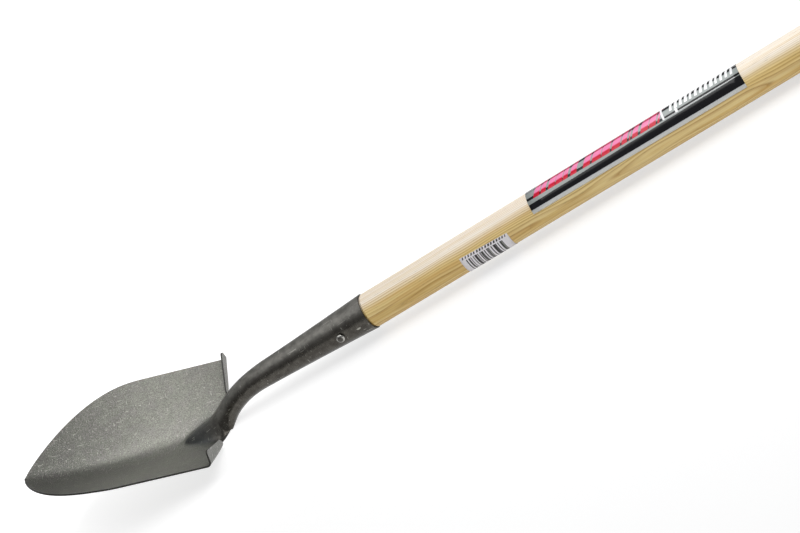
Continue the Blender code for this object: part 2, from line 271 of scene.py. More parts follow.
# %% One printed bar
FIELD = [
    ("Along", "Float", 0.0), ("Across", "Float", 0.0), ("Start", "Float", 0.0), ("End", "Float", 0.01),
    ("Low", "Float", 0.0), ("High", "Float", 0.01), ("Slant", "Float", 0.0),
]


def between(tree, value, low, high, blur):
    """A mask that is 1 between two values, with soft ends."""
    rise = maths(tree, "DIVIDE", maths(tree, "SUBTRACT", value, low), blur, clamp=True)
    fall = maths(tree, "DIVIDE", maths(tree, "SUBTRACT", high, value), blur, clamp=True)
    return times(tree, rise, fall)


def slanted_field(tree, given, blur):
    """The leaned place along a printed field, and the mask of the field."""
    leaned = maths(tree, "SUBTRACT", given["Along"], times(tree, given["Across"], given["Slant"]))
    inside = between(tree, leaned, given["Start"], given["End"], blur)
    within = between(tree, given["Across"], given["Low"], given["High"], blur)
    return leaned, times(tree, inside, within)


bar, given, result = new_group("printed_bar", FIELD + [("Blur", "Float", 0.0002)], ["Mask"])
wire(bar, result["Mask"], slanted_field(bar, given, given["Blur"])[1])
print("made", bar.name)

# %% A row of printed bars
ROW_BLUR = 0.0002
row_sockets = FIELD + [("Pitch", "Float", 0.005), ("Fill", "Float", 0.6)]
row, given, result = new_group("printed_row", row_sockets, ["Mask"])
leaned, field = slanted_field(row, given, ROW_BLUR)
cells = maths(row, "DIVIDE", leaned, given["Pitch"])
number = maths(row, "FLOOR", cells)
chance = add_node(row, "TexWhiteNoise", {"W": number}, noise_dimensions="1D").outputs["Value"]
width = times(row, given["Fill"], plus_share(row, 0.75, chance, 0.35))
across_cell = maths(row, "SUBTRACT", cells, number)
tick = between(row, across_cell, 0.04, width, 0.08)
wire(row, result["Mask"], times(row, tick, field))
print("made", row.name)

# %% [markdown]
# ## The coating of the head
# The whole head is dipped in a dark lacquer. On the blade it dries to a dull pebbled grey,
# and over the forged neck and socket it stays smoother and almost black. A painted
# attribute on the mesh, called forged, says which is which, so the change follows the
# raised frog. A second attribute marks the upper side of frog, neck and socket, which is
# painted a lighter, less metallic grey: painted light from above. Along the blade the grey
# is painted darker at the point, lighter towards the neck and darker beside the frog:
# painted light and shade. Metallic stays between paint and bare steel, because the steel
# shows through.

# %% Dark lacquer on steel
coating, tree, shader = new_material("dark_lacquer")
place = object_place(tree)
forged = add_node(tree, "Attribute", attribute_name="forged").outputs["Fac"]
wear_and_painted_top_light = add_node(tree, "Attribute", attribute_name="wear_and_painted_top_light").outputs["Fac"]
speck = use_group(tree, speckle, {"Place": place, "Grain per metre": 800.0})
marks = use_group(tree, scuffs, {"Place": place, "Amount": 0.7})

parts = add_node(tree, "SeparateXYZ", {0: place}).outputs
# Painted light and shade: the grey of the blade is painted darker at the point, lighter towards the neck and
# darker again just before the frog, following how the lamps light it.
painted_light_and_shade_along = ease(tree, parts["X"], -0.755, -0.600, 0.58, 1.18)
painted_light_and_shade_along = times(tree, painted_light_and_shade_along, ease(tree, parts["X"], -0.552, -0.542, 1.0, 0.62))
mottle = ease(tree, speck["Mottle"], 0.3, 0.7)
dull = blend_colours(tree, mottle, (0.172, 0.176, 0.150, 1), (0.225, 0.228, 0.198, 1))
tinted = ease(tree, noise(tree, place, 55.0, 3.0, 0.6), 0.42, 0.62, 0.0, 0.6)
dull = blend_colours(tree, tinted, dull, (0.190, 0.176, 0.172, 1))
dull = blend_colours(tree, ease(tree, speck["Grain"], 0.36, 0.60), (0.108, 0.108, 0.090, 1), dull)
painted_light_and_shade = add_node(tree, "CombineXYZ", {0: painted_light_and_shade_along, 1: painted_light_and_shade_along, 2: painted_light_and_shade_along}).outputs[0]
dull = blend_colours(tree, 1.0, dull, painted_light_and_shade, "MULTIPLY")
deep = blend_colours(tree, mottle, (0.052, 0.047, 0.040, 1), (0.092, 0.086, 0.074, 1))
# Painted reflection: the front of the frog is tinted blue, standing in for the sky that it mirrors.
frog_painted_sky_reflection = ease(tree, parts["X"], -0.575, -0.545, 0.75, 0.0)
deep = blend_colours(tree, frog_painted_sky_reflection, deep, (0.052, 0.060, 0.064, 1))
# Painted light: the upper side of frog, neck and socket is a lighter grey, standing in for the light from
# above.
painted_top_light_grey = blend_colours(tree, mottle, (0.135, 0.131, 0.117, 1), (0.215, 0.208, 0.188, 1))
deep = blend_colours(tree, wear_and_painted_top_light, deep, painted_top_light_grey)
colour = blend_colours(tree, forged, dull, deep)
light_marks = times(tree, speck["Sparks"], ease(tree, forged, 0.0, 1.0, 0.80, 0.12))
light_marks = maths(tree, "ADD", marks["Scratches"], light_marks, clamp=True)
colour = blend_colours(tree, times(tree, light_marks, 0.75), colour, (0.60, 0.59, 0.53, 1))
wire(tree, shader.inputs["Base Color"], colour)
print("made the colour of", coating.name)

# %% Metal and shine of the lacquer
metal = plus_share(tree, ease(tree, forged, 0.0, 1.0, 0.5, 0.8), wear_and_painted_top_light, -0.3)
wire(tree, shader.inputs["Metallic"], metal)

shine = plus_share(tree, 0.30, speck["Grain"], 0.12)
shine = plus_share(tree, shine, marks["Rubs"], 0.10)
shine = plus_share(tree, shine, wear_and_painted_top_light, 0.14)
wire(tree, shader.inputs["Roughness"], plus_share(tree, shine, forged, -0.08))
print("made the shine of", coating.name)

# %% [markdown]
# Under a low light the lacquer is not flat: it stands in fine pebbles on the blade, and over
# the forged part it follows the hammer marks and has small pits.

# %% Pebbles, hammer marks and pits
pebbles = times(tree, speck["Grain"], ease(tree, forged, 0.0, 1.0, 1.0, 0.22))
pits = ease(tree, noise(tree, place, 260.0, 1.0), 0.70, 0.76)
pebbles = maths(tree, "SUBTRACT", pebbles, times(tree, pits, forged))
pebbles = plus_share(tree, pebbles, marks["Scratches"], -0.3)
waves = times(tree, speck["Mottle"], forged)
hammered = emboss(tree, shader, waves, 0.35, 0.0014)
emboss(tree, shader, pebbles, 0.32, 0.0006, under=hammered)
print("made", coating.name)

# %% [markdown]
# The edge of the sheet was sheared, so it is coarser. Its near-black colour is painted shade
# for the thin edge faces that turn away from the light; it shows as a thin black line round
# the blade, the steps and the mouth of the socket.

# %% The sheared edge
edge_painted_shade, tree, shader = new_material("sheared_edge_painted_shade")
place = object_place(tree)
speck = use_group(tree, speckle, {"Place": place, "Grain per metre": 900.0})
# Painted shade: the cut edge is near black, as the thin edge faces look where they turn from the light.
colour = blend_colours(tree, speck["Grain"], (0.012, 0.011, 0.010, 1), (0.045, 0.042, 0.036, 1))
wire(tree, shader.inputs["Base Color"], colour)
wire(tree, shader.inputs["Roughness"], ease(tree, speck["Mottle"], 0.3, 0.7, 0.42, 0.62))
shader.inputs["Metallic"].default_value = 0.2
emboss(tree, shader, speck["Grain"], 0.3, 0.0003)
print("made", edge_painted_shade.name)

# %% [markdown]
# ## The outline of the blade
# Seen from above the sides run straight, then bend in to a blunt point, fuller at the
# shoulders than an arc would be. One curve says half the width at any distance from the
# point, and the same curve read backwards says where the outline crosses a given width.

# %% Half the width of the blade
BLADE_WIDTH = 0.1855
POINT_START = 0.0004
POINT_END = 0.1400
POINT_FULLNESS = 1.28
HALF_WIDTH = BLADE_WIDTH / 2


def half_width(x):
    """Half the width at a distance along the blade."""
    along = min(max((x - POINT_START) / (POINT_END - POINT_START), 0.0), 1.0)
    return HALF_WIDTH * (1 - (1 - along) ** 2) ** (1 / POINT_FULLNESS)


def outline_x(y):
    """Where the outline of the point crosses a half width."""
    filled = min(abs(y) / HALF_WIDTH, 1.0) ** POINT_FULLNESS
    return POINT_START + (POINT_END - POINT_START) * (1 - math.sqrt(1 - filled))


print("half way up the point the blade is", round(2000 * half_width(0.07)), "millimetres wide")

# %% [markdown]
# ## The dish
# The press leaves two flat flanks that meet in a soft crease. The rim rises to a crest and
# falls again towards the steps. Towards the point the crease lifts and fades, until it
# meets the rim at the nose.

# %% Height of the dish
RIM_HEIGHT = 0.0120
RIM_DROP_AT_POINT = 0.0215
RIM_DROP_CURVE = 1.83
RIM_CREST_X = 0.1115
RIM_CREST_ROUND = 0.01
RIM_FALL_TO_REAR = 0.079
CREASE_DEPTH = 0.027
CREASE_BOTTOM_X = 0.130
CREASE_LIFT_AT_POINT = 0.0172
CREASE_LIFT_CURVE = 1.75
CREASE_LIFT_AT_REAR = 0.0012
CREASE_SOFTNESS = 0.25
POINT_SOFTNESS = 0.50
POINT_SOFT_END = 0.080
NOSE_HALF_WIDTH = 0.012
BLADE_LENGTH = 0.2427
STEP_BEND_RADIUS = 0.0048
FOLD_X = BLADE_LENGTH - STEP_BEND_RADIUS


def rim_z(x):
    """Height of the cut edge, in side view."""
    if x < RIM_CREST_X:
        return RIM_HEIGHT - RIM_DROP_AT_POINT * (1 - x / RIM_CREST_X) ** RIM_DROP_CURVE
    past = math.hypot(x - RIM_CREST_X, RIM_CREST_ROUND) - RIM_CREST_ROUND
    return RIM_HEIGHT - RIM_FALL_TO_REAR * past


def crease_z(x):
    """Height of the crease along the middle."""
    if x < CREASE_BOTTOM_X:
        return -CREASE_DEPTH + CREASE_LIFT_AT_POINT * (1 - x / CREASE_BOTTOM_X) ** CREASE_LIFT_CURVE
    past = (x - CREASE_BOTTOM_X) / (FOLD_X - CREASE_BOTTOM_X)
    return -CREASE_DEPTH + CREASE_LIFT_AT_REAR * past * past


def dish_z(x, y):
    """Height of the dish without the frog."""
    share = min(abs(y) / max(half_width(x), NOSE_HALF_WIDTH / 2), 1.0)
    softness = CREASE_SOFTNESS + POINT_SOFTNESS * max(0.0, 1 - x / POINT_SOFT_END) ** 2
    rise = (math.hypot(share, softness) - softness) / (math.hypot(1.0, softness) - softness)
    return crease_z(x) + (rim_z(x) - crease_z(x)) * rise


print("dish is", round(1000 * (dish_z(0.12, HALF_WIDTH) - dish_z(0.12, 0.0)), 1), "millimetres deep")

# %% [markdown]
# ## The frog
# The frog is the raised fold that carries the load from the neck into the blade. Its crest
# climbs steeply from a tip in the crease, and its flanks fall away on both sides.

# %% Height of the frog
FROG_LENGTH = 0.0505
FROG_RISE = 0.0278
FROG_START_SLOPE = 0.80
FROG_END_SLOPE = 0.95
FROG_TIP_SHARE = 0.30
FROG_SQUARENESS = 3.0
FROG_HALF_WIDTH = 0.0125
FROG_TIP_X = FOLD_X - FROG_LENGTH


def swing(share, start, start_slope, end, end_slope, length):
    """A curve through two heights with a given slope at both."""
    s2 = share * share
    s3 = s2 * share
    value = (1 - 3 * s2 + 2 * s3) * start + (3 * s2 - 2 * s3) * end
    return value + ((share - 2 * s2 + s3) * start_slope + (s3 - s2) * end_slope) * length


def frog_lift(x, y):
    """How far the frog stands above the dish."""
    if x <= FROG_TIP_X:
        return 0.0
    share = (x - FROG_TIP_X) / FROG_LENGTH
    start = crease_z(FROG_TIP_X)
    crest = swing(share, start, FROG_START_SLOPE, start + FROG_RISE, FROG_END_SLOPE, FROG_LENGTH)
    widening = FROG_TIP_SHARE + (1 - FROG_TIP_SHARE) * math.sin(share * math.pi / 2)
    spread = FROG_HALF_WIDTH * widening
    return (crest - dish_z(x, 0.0)) / (1 + abs(y / spread) ** FROG_SQUARENESS)


print("frog is", round(1000 * frog_lift(FOLD_X, 0.0), 1), "millimetres high at the fold")

# %% [markdown]
# ## Columns and rows of the sheet
# The head starts as one flat grid, as the blank starts as one flat sheet. The columns close
# up in the middle, where the sheet will be rolled into the neck, and the rows bow to follow
# the rounded point.

# %% Where the columns and rows lie
SHEET = 0.0018
NECK_SHARE = 0.31
STEP_SHARE = 0.41
NECK_COLUMNS = 20
NOTCH_COLUMNS = 5
FLANK_COLUMNS = 16
HALF_COLUMNS = NECK_COLUMNS + NOTCH_COLUMNS + FLANK_COLUMNS
POINT_ROWS = 30
POINT_ROW_CURVE = 1.2
BOW_FADE = 0.08
FROG_ROWS = 22


def column_share(column):
    """Share of the half width at which a column runs."""
    step = abs(column)
    if step <= NECK_COLUMNS:
        return NECK_SHARE * step / NECK_COLUMNS
    step -= NECK_COLUMNS
    if step <= NOTCH_COLUMNS:
        return NECK_SHARE + (STEP_SHARE - NECK_SHARE) * step / NOTCH_COLUMNS
    turn = math.pi / 2 * (step - NOTCH_COLUMNS) / FLANK_COLUMNS
    return STEP_SHARE + (1 - STEP_SHARE) * math.sin(turn)


def row_x(number):
    """Distance of a row from the drawn point, along the crease."""
    nose = outline_x(NOSE_HALF_WIDTH)
    if number < POINT_ROWS:
        return nose + (FROG_TIP_X - nose) * (number / POINT_ROWS) ** POINT_ROW_CURVE
    return FROG_TIP_X + FROG_LENGTH * (number - POINT_ROWS) / FROG_ROWS


def blade_spot(along, column):
    """A spot on the back of the blade."""
    share = column_share(column)
    nose = outline_x(NOSE_HALF_WIDTH)
    bow = nose - outline_x(share * half_width(nose))
    x = along - bow * max(0.0, 1 - (along - nose) / BOW_FADE)
    y = math.copysign(share * half_width(along), column)
    return Vector((x, y, dish_z(x, y) + frog_lift(x, y) - SHEET))


# %% The blade, pressed from a flat grid
FORGED_LIFT = 0.0028
TOP_LIGHT_LIFT = 0.020
sheet = bmesh.new()
bmesh.ops.create_grid(sheet, x_segments=POINT_ROWS + FROG_ROWS, y_segments=2 * HALF_COLUMNS, size=1.0)
column_of = sheet.verts.layers.int.new("column")
forged_of = sheet.verts.layers.float.new("forged")
painted_top_light_of = sheet.verts.layers.float.new("wear_and_painted_top_light")
fold_row = []
for spot in sheet.verts:
    number = round((spot.co.x + 1) / 2 * (POINT_ROWS + FROG_ROWS))
    column = round(spot.co.y * HALF_COLUMNS)
    spot.co = blade_spot(row_x(number), column)
    spot[column_of] = column
    lift = frog_lift(spot.co.x, spot.co.y)
    spot[forged_of] = min(lift / FORGED_LIFT, 1.0)
    # Painted light on the top of the frog, at half strength.
    spot[painted_top_light_of] = 0.5 * min(lift / TOP_LIGHT_LIFT, 1.0)
    if number == POINT_ROWS + FROG_ROWS:
        fold_row.append(spot)
print("blade:", len(sheet.verts), "vertices,", len(fold_row), "of them on the fold")

# %% [markdown]
# ## The neck and the socket
# Past the fold the middle of the sheet is swept up and rolled into a tube, seam at the back.
# In Blender the edge of the grid is extruded station by station, and each new row is rolled
# a little further. The sheet is stretched where the neck climbs, so the ring is stretched by
# the same amount to keep the tube round.

# %% Stations along the neck
NECK_RADIUS = 0.0114
NECK_START_ANGLE = math.radians(52.0)
WRAP_LENGTH = 0.0205
WEB_SLOPE = 0.6
SEAM_GAP = 0.0018
SOCKET_LENGTH = 0.133
SOCKET_START_RADIUS = 0.01375
SOCKET_END_RADIUS = 0.0199
SOCKET_FLARE = 1.2
NECK_ROWS = 26
NECK_ROW_CURVE = 1.3
NUDGE = 0.001
SOCKET_ROWS = 40

neck_base_z = crease_z(FROG_TIP_X) + FROG_RISE - NECK_RADIUS / math.cos(NECK_START_ANGLE)
straight = SOCKET_END - SOCKET_LENGTH * Vector((math.cos(HANDLE_LIFT), 0.0, math.sin(HANDLE_LIFT)))
neck_length = straight.x - FOLD_X
print("the neck is", round(1000 * neck_length, 1), "millimetres long")


def soft(value):
    """Ease a value from 0 to 1."""
    value = min(max(value, 0.0), 1.0)
    return value * value * (3.0 - 2.0 * value)


def socket_radius(along):
    """Outside radius of the socket at a distance from its small end."""
    swell = SOCKET_END_RADIUS - SOCKET_START_RADIUS
    return SOCKET_START_RADIUS + swell * (along / SOCKET_LENGTH) ** SOCKET_FLARE


def neck_centre_z(share):
    """Height of the middle of the neck."""
    start_slope = math.tan(NECK_START_ANGLE)
    return swing(share, neck_base_z, start_slope, straight.z, math.tan(HANDLE_LIFT), neck_length)


def neck_station(number):
    """Centre, slope, tilt of the cut, radius and how far the sheet is rolled."""
    share = (number / NECK_ROWS) ** NECK_ROW_CURVE
    x = FOLD_X + neck_length * share
    z = neck_centre_z(share)
    slope = math.atan2(neck_centre_z(share + NUDGE) - z, NUDGE * neck_length)
    radius = NECK_RADIUS + (SOCKET_START_RADIUS - NECK_RADIUS) * share ** 2
    return (x, z, slope, HANDLE_LIFT * soft(share), radius, soft((x - FOLD_X) / WRAP_LENGTH))


def socket_station(number):
    """The same for the straight socket."""
    along = SOCKET_LENGTH * number / SOCKET_ROWS
    x = straight.x + along * math.cos(HANDLE_LIFT)
    z = straight.z + along * math.sin(HANDLE_LIFT)
    return (x, z, HANDLE_LIFT, HANDLE_LIFT, socket_radius(along), 1.0)


# %% From the flat sheet to the rolled tube
def neck_spot(station, column):
    """A spot on the inside of the neck, on its way from the flat sheet to the rolled tube."""
    x, z, slope, tilt, radius, rolled = station
    inner = radius - SHEET
    half_turn = math.pi - math.asin(SEAM_GAP / 2 / inner)
    turn = half_turn * column / NECK_COLUMNS
    up = inner * math.cos(turn) / math.cos(slope - tilt)
    tube = Vector((x - up * math.sin(tilt), inner * math.sin(turn), z + up * math.cos(tilt)))
    flat = blade_spot(FOLD_X, column)
    before = blade_spot(FOLD_X - NUDGE, column)
    slope_on = max((flat.z - before.z) / NUDGE, WEB_SLOPE)
    flat += Vector((1.0, 0.0, slope_on)) * (x - FOLD_X)
    return flat.lerp(tube, rolled)


# %% The dent left by the rivet's hammer
RIVET_SETBACK = 0.0362
DENT_DEPTH = 0.0006
DENT_RADIUS = 0.0105
rivet_spot = SOCKET_END - RIVET_SETBACK * Vector((math.cos(HANDLE_LIFT), 0.0, math.sin(HANDLE_LIFT)))


def dent_depth(spot):
    """How far the wall of the socket gave way round the rivet."""
    gap = math.hypot(spot.x - rivet_spot.x, spot.z - rivet_spot.z)
    return DENT_DEPTH * soft(1 - gap / DENT_RADIUS)


# %% Extrude the neck and the socket
def upper_side(column):
    """1 along the top of the tube, which is painted lighter as painted light from above, and 0 below."""
    return soft((math.cos(math.pi * column / NECK_COLUMNS) - 0.35) / 0.5)


def edges_between(shape, spots):
    """Edges whose two ends are both in a row of vertices, in the order of the mesh."""
    wanted = set(spots)
    return [edge for edge in shape.edges if edge.verts[0] in wanted and edge.verts[1] in wanted]


def pull_row(shape, edges):
    """Extrude a row of edges; gives the new edges and the new vertices."""
    pulled = bmesh.ops.extrude_edge_only(shape, edges=edges)["geom"]
    spots = [item for item in pulled if isinstance(item, bmesh.types.BMVert)]
    return [item for item in pulled if isinstance(item, bmesh.types.BMEdge)], spots


stations = [neck_station(number + 1) for number in range(NECK_ROWS)]
stations += [socket_station(number + 1) for number in range(SOCKET_ROWS)]
row_edges = edges_between(sheet, [spot for spot in fold_row if abs(spot[column_of]) <= NECK_COLUMNS])
for station in stations:
    row_edges, new_spots = pull_row(sheet, row_edges)
    for spot in new_spots:
        spot.co = neck_spot(station, spot[column_of])
        spot.co.y -= math.copysign(dent_depth(spot.co), spot.co.y)
        spot[forged_of] = 1.0
        spot[painted_top_light_of] = upper_side(spot[column_of])
print("with neck and socket:", len(sheet.verts), "vertices")

# %% [markdown]
# ## The steps
# The rear edge of the blade is turned up on both sides so that a boot can push on it. The
# outer ends stand higher than the inner ones, and both ends of each step are rounded.

# %% Bend up both steps
STEP_HEIGHT_OUTER = 0.0175
STEP_HEIGHT_INNER = 0.0115
STEP_LEAN = 0.36
STEP_CORNER_RADIUS = 0.005
BEND_ROWS = 6
TREAD_ROWS = 5


def step_spot(column, level):
    """A spot on the bend or on the tread of a step."""
    share = column_share(column)
    outwards = (share - STEP_SHARE) / (1 - STEP_SHARE)
    height = STEP_HEIGHT_INNER + (STEP_HEIGHT_OUTER - STEP_HEIGHT_INNER) * outwards
    from_end = min(share - STEP_SHARE, 1 - share) * HALF_WIDTH
    corner = max(0.0, STEP_CORNER_RADIUS - from_end)
    height -= STEP_CORNER_RADIUS - math.sqrt(STEP_CORNER_RADIUS ** 2 - corner ** 2)
    turn = math.pi / 2 * min(level / BEND_ROWS, 1.0)
    forward = math.sin(turn) * STEP_BEND_RADIUS
    rise = (1 - math.cos(turn)) * STEP_BEND_RADIUS
    rise += (height - STEP_BEND_RADIUS) * max(0, level - BEND_ROWS) / TREAD_ROWS
    lean = STEP_LEAN * outwards
    base = blade_spot(FOLD_X, column)
    y = base.y - math.copysign(lean / math.hypot(lean, 1.0) * rise, column)
    return Vector((base.x + forward, y, base.z + rise / math.hypot(lean, 1.0)))


inner_column = NECK_COLUMNS + NOTCH_COLUMNS
for side in (1, -1):
    row_edges = edges_between(sheet, [spot for spot in fold_row if spot[column_of] * side >= inner_column])
    for level in range(BEND_ROWS + TREAD_ROWS):
        row_edges, new_spots = pull_row(sheet, row_edges)
        for spot in new_spots:
            spot.co = step_spot(spot[column_of], level + 1)
bmesh.ops.recalc_face_normals(sheet, faces=sheet.faces)
if sum(face.normal.z for face in sheet.faces) < 0:
    bmesh.ops.reverse_faces(sheet, faces=sheet.faces)
print("whole sheet:", len(sheet.faces), "faces")

# %% [markdown]
# ## Thickness, rivet hole and edges
# Solidify gives the sheet its 1.8 millimetres, outwards from the inside of the socket, and
# puts the sheared edge in its own material. A rod drills the hole for the rivet through
# both walls of the socket. A small bevel then takes the sharpness off every cut edge.

# %% Give the sheet its thickness
head = finish("shovel_head_finished", sheet, head_bench, "shovel_head", [coating, edge_painted_shade])
wall = head.modifiers.new("sheet", "SOLIDIFY")
wall.thickness = SHEET
wall.offset = 1.0
wall.use_even_offset = True
wall.material_offset_rim = 1

# %% Drill the rivet hole
RIVET_RADIUS = 0.0026
FIT_GAP = 0.0003
ROD_LENGTH = 0.06
rivet_bench = handle_bench @ Matrix.Translation((-RIVET_SETBACK, 0.0, 0.0))


def drill_rod():
    """A rod across the socket, a little thicker than the rivet."""
    rod = bmesh.new()
    bmesh.ops.create_circle(rod, cap_ends=True, radius=RIVET_RADIUS + FIT_GAP, segments=32)
    pulled = bmesh.ops.extrude_face_region(rod, geom=rod.faces[:])["geom"]
    top = [spot for spot in pulled if isinstance(spot, bmesh.types.BMVert)]
    bmesh.ops.translate(rod, verts=top, vec=(0.0, 0.0, ROD_LENGTH))
    bmesh.ops.translate(rod, verts=rod.verts, vec=(0.0, 0.0, -ROD_LENGTH / 2))
    bmesh.ops.rotate(rod, verts=rod.verts, matrix=Matrix.Rotation(math.pi / 2, 3, "X"))
    bmesh.ops.transform(rod, matrix=rivet_bench, verts=rod.verts)
    bmesh.ops.recalc_face_normals(rod, faces=rod.faces)
    return into_scene("drill_rod", rod)


def drill(piece):
    """Cut the rod out of a piece and keep the result in its mesh."""
    rod = drill_rod()
    cut = piece.modifiers.new("rivet_hole", "BOOLEAN")
    cut.operation = "DIFFERENCE"
    cut.solver = "EXACT"
    cut.object = rod
    seen = piece.evaluated_get(bpy.context.evaluated_depsgraph_get())
    cut_mesh = bpy.data.meshes.new_from_object(seen)
    piece.modifiers.clear()
    piece.data = cut_mesh
    bpy.data.objects.remove(rod)


drill(head)
print("drilled head:", len(head.data.polygons), "faces")


# %% Soften the cut edges
def soften(piece, width, segments=2):
    """A narrow bevel on every sharp edge."""
    edge = piece.modifiers.new("edge", "BEVEL")
    edge.width = width
    edge.segments = segments
    edge.limit_method = "ANGLE"
    edge.angle_limit = math.radians(50.0)
    edge.harden_normals = True


soften(head, 0.0004)
compare(head, "shovel_head")

# %% [markdown]
# ## The ash handle
# Ash is straight grained, and its growth rings show as lines where the saw cut across them
# and as long pointed islands where it cut along them. The rings are drawn in three
# dimensions: the distance from the heart of the tree, which lay well behind the handle,
# bent a little along the length. So the lines run on round the handle and over its end.

# %% Rings in the wood
HEART_ASIDE = 0.0540
HEART_BEHIND = 0.0095
RING_WANDER = 0.011
RING_DRIFT = 0.0025
RING_WIDTH = 0.00185
ash, tree, shader = new_material("oiled_ash")
place = object_place(tree)
feeds = {
    "Vector": place,
    "Location": tuple(handle_bench.translation),
    "Rotation": (0.0, handle_tilt, 0.0),
}
in_handle = add_node(tree, "Mapping", feeds, vector_type="TEXTURE").outputs[0]
wander = noise(tree, stretch(tree, in_handle, (5.5, 22.0, 22.0)), 1.0, 2.0, 0.55)
parts = add_node(tree, "SeparateXYZ", {0: in_handle}).outputs
heart_y = maths(tree, "ADD", parts["Y"], HEART_ASIDE)
heart_z = maths(tree, "ADD", parts["Z"], HEART_BEHIND)
squares = maths(tree, "ADD", maths(tree, "POWER", heart_y, 2.0), maths(tree, "POWER", heart_z, 2.0))
from_heart = maths(tree, "SQRT", squares)
from_heart = plus_share(tree, from_heart, wander, RING_WANDER)
from_heart = plus_share(tree, from_heart, parts["X"], RING_DRIFT)
rings = maths(tree, "DIVIDE", from_heart, RING_WIDTH)
year = maths(tree, "FRACT", rings)
print("a year of growth is", 1000 * RING_WIDTH, "millimetres")

# %% Colour of the ash
early = ease(tree, year, 0.0, 0.34)
late = ease(tree, year, 0.50, 1.00, 1.0, 0.45)
pale = times(tree, early, late)
fading = noise(tree, stretch(tree, in_handle, (3.0, 110.0, 110.0)), 1.0, 2.0)
strength = ease(tree, fading, 0.34, 0.60, 0.32, 1.0)
grain = times(tree, maths(tree, "SUBTRACT", 1.0, pale), strength)

broad = noise(tree, stretch(tree, in_handle, (3.5, 130.0, 130.0)), 1.0, 3.0, 0.6)
broad = ease(tree, broad, 0.34, 0.62)
heartwood = blend_colours(tree, broad, (0.74, 0.485, 0.125, 1), (0.94, 0.735, 0.325, 1))
# The pale outer wood lies along the top of the handle: partly sapwood, partly painted sheen of the light
# from above.
pale_sapwood_and_sheen = blend_colours(tree, broad, (0.86, 0.750, 0.580, 1), (0.94, 0.885, 0.805, 1))
outer_wood_and_sheen = ease(tree, from_heart, 0.0475, 0.0590)
body = blend_colours(tree, outer_wood_and_sheen, heartwood, pale_sapwood_and_sheen)
line = blend_colours(tree, outer_wood_and_sheen, (0.50, 0.245, 0.035, 1), (0.64, 0.415, 0.165, 1))
colour = blend_colours(tree, times(tree, grain, 0.90), body, line)

streaks = noise(tree, stretch(tree, in_handle, (7.0, 150.0, 150.0)), 1.0, 2.0)
amber = ease(tree, streaks, 0.56, 0.72, 0.0, 0.55)
amber = times(tree, amber, maths(tree, "SUBTRACT", 1.0, outer_wood_and_sheen))
colour = blend_colours(tree, amber, colour, (0.74, 0.440, 0.110, 1))
print("made the colour of", ash.name)

# %% Fibres, pores and shine
fibre = noise(tree, stretch(tree, in_handle, (14.0, 1300.0, 1300.0)), 1.0, 3.0, 0.6)
colour = blend_colours(tree, ease(tree, fibre, 0.35, 0.75, 0.0, 0.22), colour, (0.47, 0.31, 0.13, 1))
pores = ease(tree, noise(tree, stretch(tree, in_handle, (110.0, 2600.0, 2600.0)), 1.0, 1.0), 0.62, 0.72)
pores = times(tree, pores, maths(tree, "SUBTRACT", 1.0, early))
colour = blend_colours(tree, times(tree, pores, 0.7), colour, (0.22, 0.12, 0.04, 1))
wire(tree, shader.inputs["Base Color"], colour)

marks = use_group(tree, scuffs, {"Place": place, "Amount": 0.4})
shine = plus_share(tree, 0.46, grain, 0.12)
shine = plus_share(tree, shine, marks["Rubs"], 0.12)
wire(tree, shader.inputs["Roughness"], shine)
relief = plus_share(tree, times(tree, fibre, -0.5), pores, -0.6)
relief = plus_share(tree, relief, marks["Scratches"], -0.5)
emboss(tree, shader, relief, 0.25, 0.0003)
shader.inputs["Coat Roughness"].default_value = 0.42
wire(tree, shader.inputs["Coat Weight"], ease(tree, fibre, 0.3, 0.7, 0.16, 0.08))
print("made", ash.name)

# %% [markdown]
# A handle is turned on a lathe, so the mesh is a profile spun round the X axis. The tapered
# end fits the inside of the socket with a small clearance, and the butt is rounded with a
# bevel, as a rasp would round it.

# %% Turn the handle
HANDLE_RADIUS = 0.019
HANDLE_REACH = 1.110
TENON_LENGTH = 0.104
TENON_STEPS = 12
TENON_CHAMFER = 0.002
SHOULDER = 0.0015
SOCKET_SIDES = 20
BUTT_ROUND = 0.008


def bore(setback):
    """Radius that clears the flat sides of the solid's socket at a setback from its mouth."""
    inner = socket_radius(SOCKET_LENGTH - setback) - SHEET
    return inner * math.cos(math.pi / SOCKET_SIDES) - FIT_GAP


def spin_profile(profile, axis, steps):
    """Spin a chain of points round an axis through the origin, closed at both ends."""
    shape = bmesh.new()
    chain = [shape.verts.new(point) for point in profile]
    edges = [shape.edges.new(pair) for pair in zip(chain, chain[1:])]
    bmesh.ops.spin(
        shape, geom=chain + edges, cent=(0.0, 0.0, 0.0), axis=axis, dvec=(0.0, 0.0, 0.0),
        angle=2 * math.pi, steps=steps, use_merge=True, use_duplicate=False,
    )
    bmesh.ops.remove_doubles(shape, verts=shape.verts, dist=1e-6)
    bmesh.ops.recalc_face_normals(shape, faces=shape.faces)
    return shape


profile = [(-TENON_LENGTH, 0.0, 0.0), (-TENON_LENGTH, 0.0, bore(TENON_LENGTH) - TENON_CHAMFER)]
profile.append((-TENON_LENGTH + TENON_CHAMFER, 0.0, bore(TENON_LENGTH - TENON_CHAMFER)))
for step in range(1, TENON_STEPS):
    setback = TENON_LENGTH * (1 - step / TENON_STEPS)
    profile.append((-setback, 0.0, bore(setback)))
profile.append((FIT_GAP, 0.0, bore(0.0)))
profile.append((FIT_GAP + SHOULDER, 0.0, HANDLE_RADIUS))
profile.append((HANDLE_REACH, 0.0, HANDLE_RADIUS))
profile.append((HANDLE_REACH, 0.0, 0.0))
wood = spin_profile(profile, (1.0, 0.0, 0.0), 96)
print("turned handle:", len(wood.verts), "vertices")

